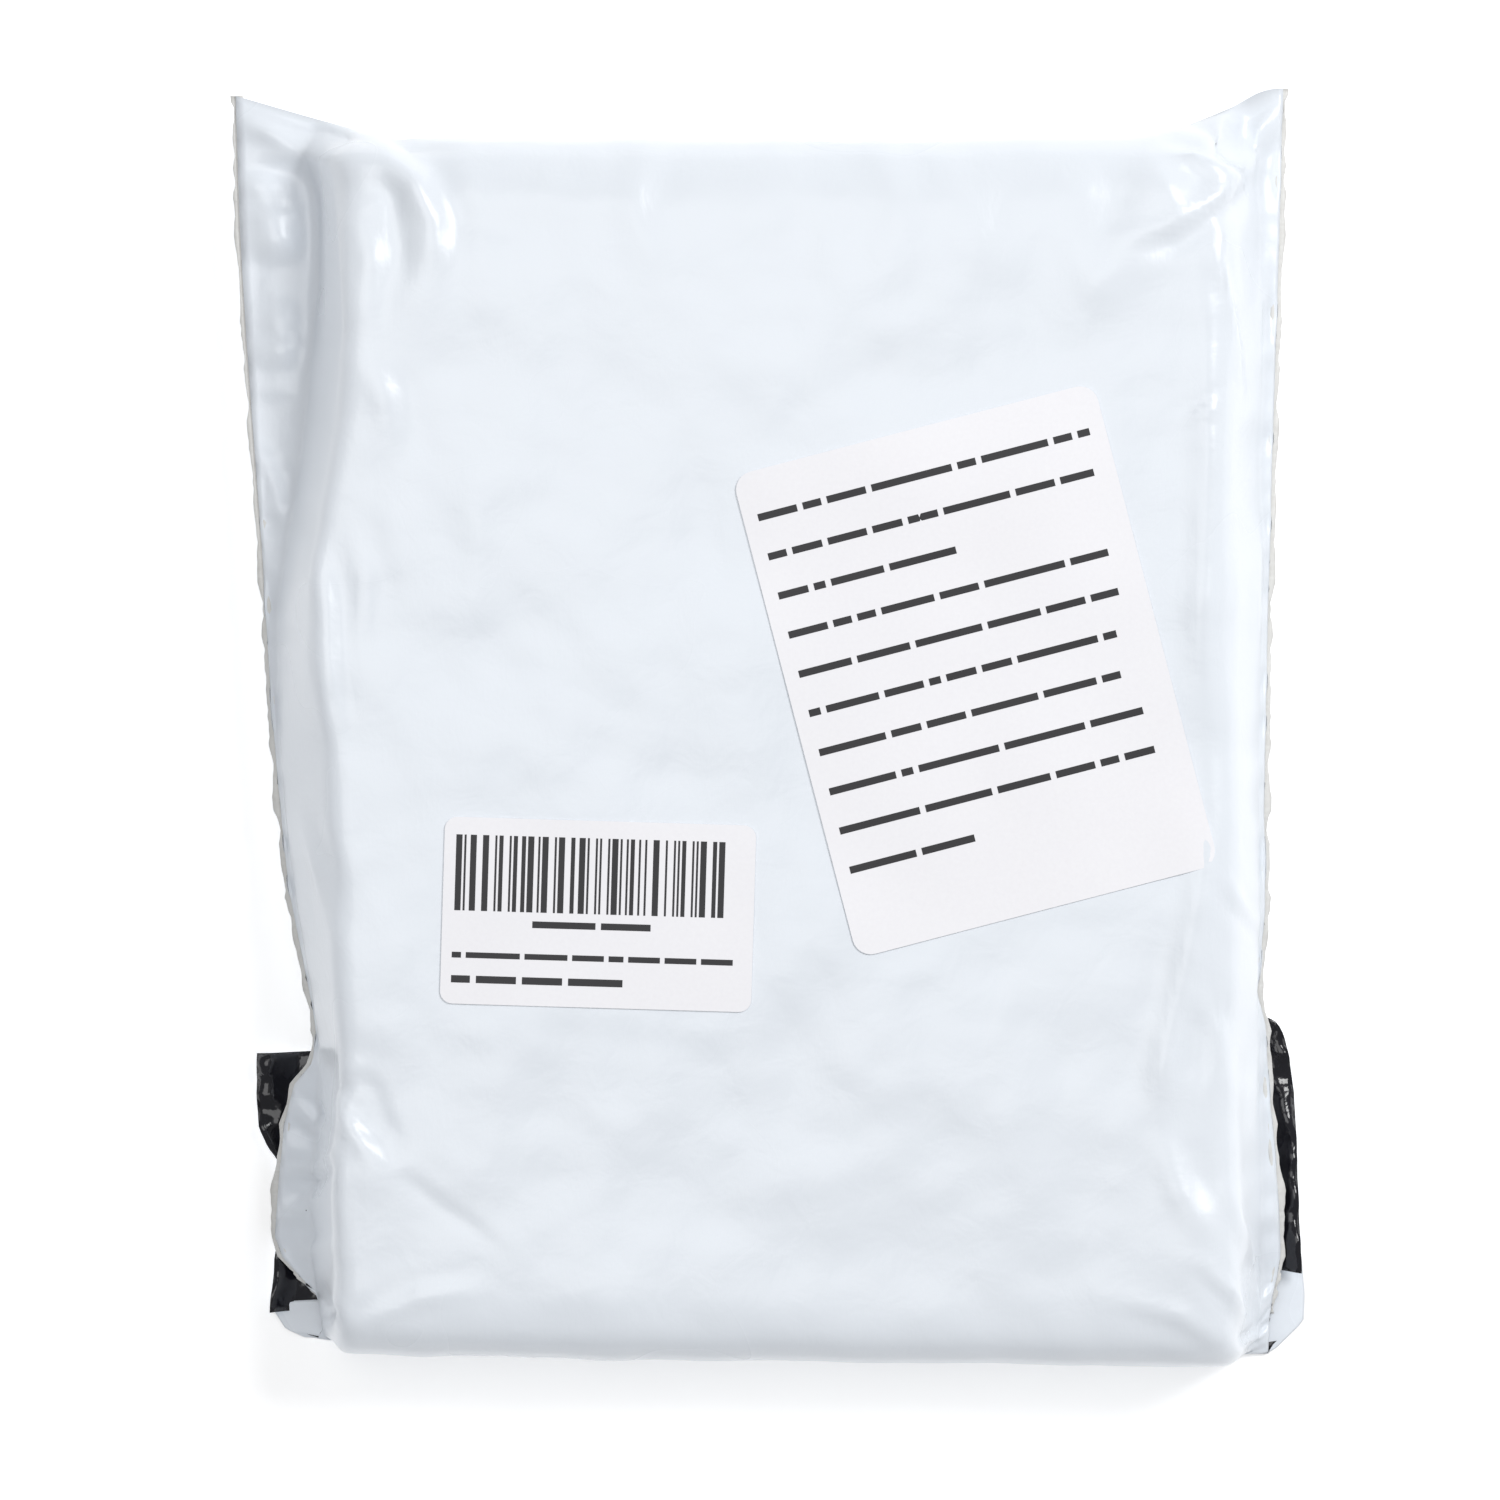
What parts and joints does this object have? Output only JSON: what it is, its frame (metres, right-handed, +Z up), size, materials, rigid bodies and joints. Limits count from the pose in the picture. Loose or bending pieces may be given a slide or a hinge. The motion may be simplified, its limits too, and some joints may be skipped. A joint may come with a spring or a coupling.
{
  "type": "packed film changing bag",
  "caption": "Light-tight film changing bag with double zips and two elastic sleeves, folded flat inside its closed poly mailer.",
  "frame": {"origin": "centre of the bounding box, on the surface that the mailer lies on", "axes": "+X to the right when the labels are read, +Y from the closed mouth to the bottom fold, +Z up out of the labelled face"},
  "size_m": [0.174, 0.206, 0.0269],
  "materials": {
    "white_film": "glossy blown polyethylene film, slightly blue white",
    "black_film": "glossy black inner side of the mailer film",
    "clear_adhesive": "hot-melt adhesive strip",
    "label_paper": "smooth coated label paper",
    "black_taffeta": "black woven polyester taffeta",
    "silver_lining": "silver coated lightproof lining",
    "binding_tape": "black ribbed binding tape",
    "zip_tape": "black herringbone zip tape",
    "nylon_teeth": "black nylon coil",
    "zip_metal": "black painted zinc",
    "elastic_web": "black braided elastic"
  },
  "bodies": {
    "mailer": {"mailer_front_film": "white_film", "mailer_back_film": "white_film", "left_side_weld": "white_film", "right_side_weld": "white_film", "barcode_label": "label_paper", "description_label": "label_paper", "outer_bag_front_panel": "black_taffeta", "outer_bag_back_panel": "black_taffeta", "inner_bag_front_panel": "silver_lining", "inner_bag_back_panel": "silver_lining", "left_side_binding": "binding_tape", "right_side_binding": "binding_tape", "shoulder_binding": "binding_tape", "outer_zip_front_tape": "zip_tape", "outer_zip_back_tape": "zip_tape", "outer_zip_teeth": "nylon_teeth", "outer_zip_stops": "zip_metal", "inner_zip_front_tape": "zip_tape", "inner_zip_back_tape": "zip_tape", "inner_zip_teeth": "nylon_teeth", "inner_zip_stops": "zip_metal", "left_outer_sleeve": "black_taffeta", "left_inner_sleeve": "silver_lining", "left_cuff_hem": "black_taffeta", "left_cuff_elastic": "elastic_web", "right_outer_sleeve": "black_taffeta", "right_inner_sleeve": "silver_lining", "right_cuff_hem": "black_taffeta", "right_cuff_elastic": "elastic_web"},
    "closure_end": {"tail_front_film": "white_film", "tail_back_film": "white_film"},
    "closing_flap": {"closing_flap": "black_film", "adhesive_strip": "clear_adhesive"},
    "outer_zip_slider": {"outer_zip_slider": "zip_metal"},
    "outer_zip_pull": {"outer_zip_pull": "zip_metal"},
    "inner_zip_slider": {"inner_zip_slider": "zip_metal"},
    "inner_zip_pull": {"inner_zip_pull": "zip_metal"}
  },
  "joints": [
    {"name": "closure_fold", "type": "hinge", "parent": "mailer", "child": "closure_end", "pos_m": [0, -0.103, 0.00085], "axis": [-1, 0, 0], "range_deg": [0, 175]},
    {"name": "flap_peel", "type": "hinge", "parent": "closure_end", "child": "closing_flap", "pos_m": [0.002, -0.0916, 0.0003], "axis": [-0.999, -0.0454, 0], "range_deg": [0, 95]},
    {"name": "outer_zip_run", "type": "slide", "parent": "mailer", "child": "outer_zip_slider", "axis": [1, 0, 0], "range_m": [0, 0.10975]},
    {"name": "outer_pull_swing", "type": "hinge", "parent": "outer_zip_slider", "child": "outer_zip_pull", "pos_m": [-0.05975, -0.0827, 0.0118], "axis": [0, -1, 0], "range_deg": [0, 6]},
    {"name": "inner_zip_run", "type": "slide", "parent": "mailer", "child": "inner_zip_slider", "axis": [1, 0, 0], "range_m": [0, 0.10775]},
    {"name": "inner_pull_swing", "type": "hinge", "parent": "inner_zip_slider", "child": "inner_zip_pull", "pos_m": [-0.05975, -0.0657, 0.01145], "axis": [0, -1, 0], "range_deg": [0, 2.5]}
  ]
}
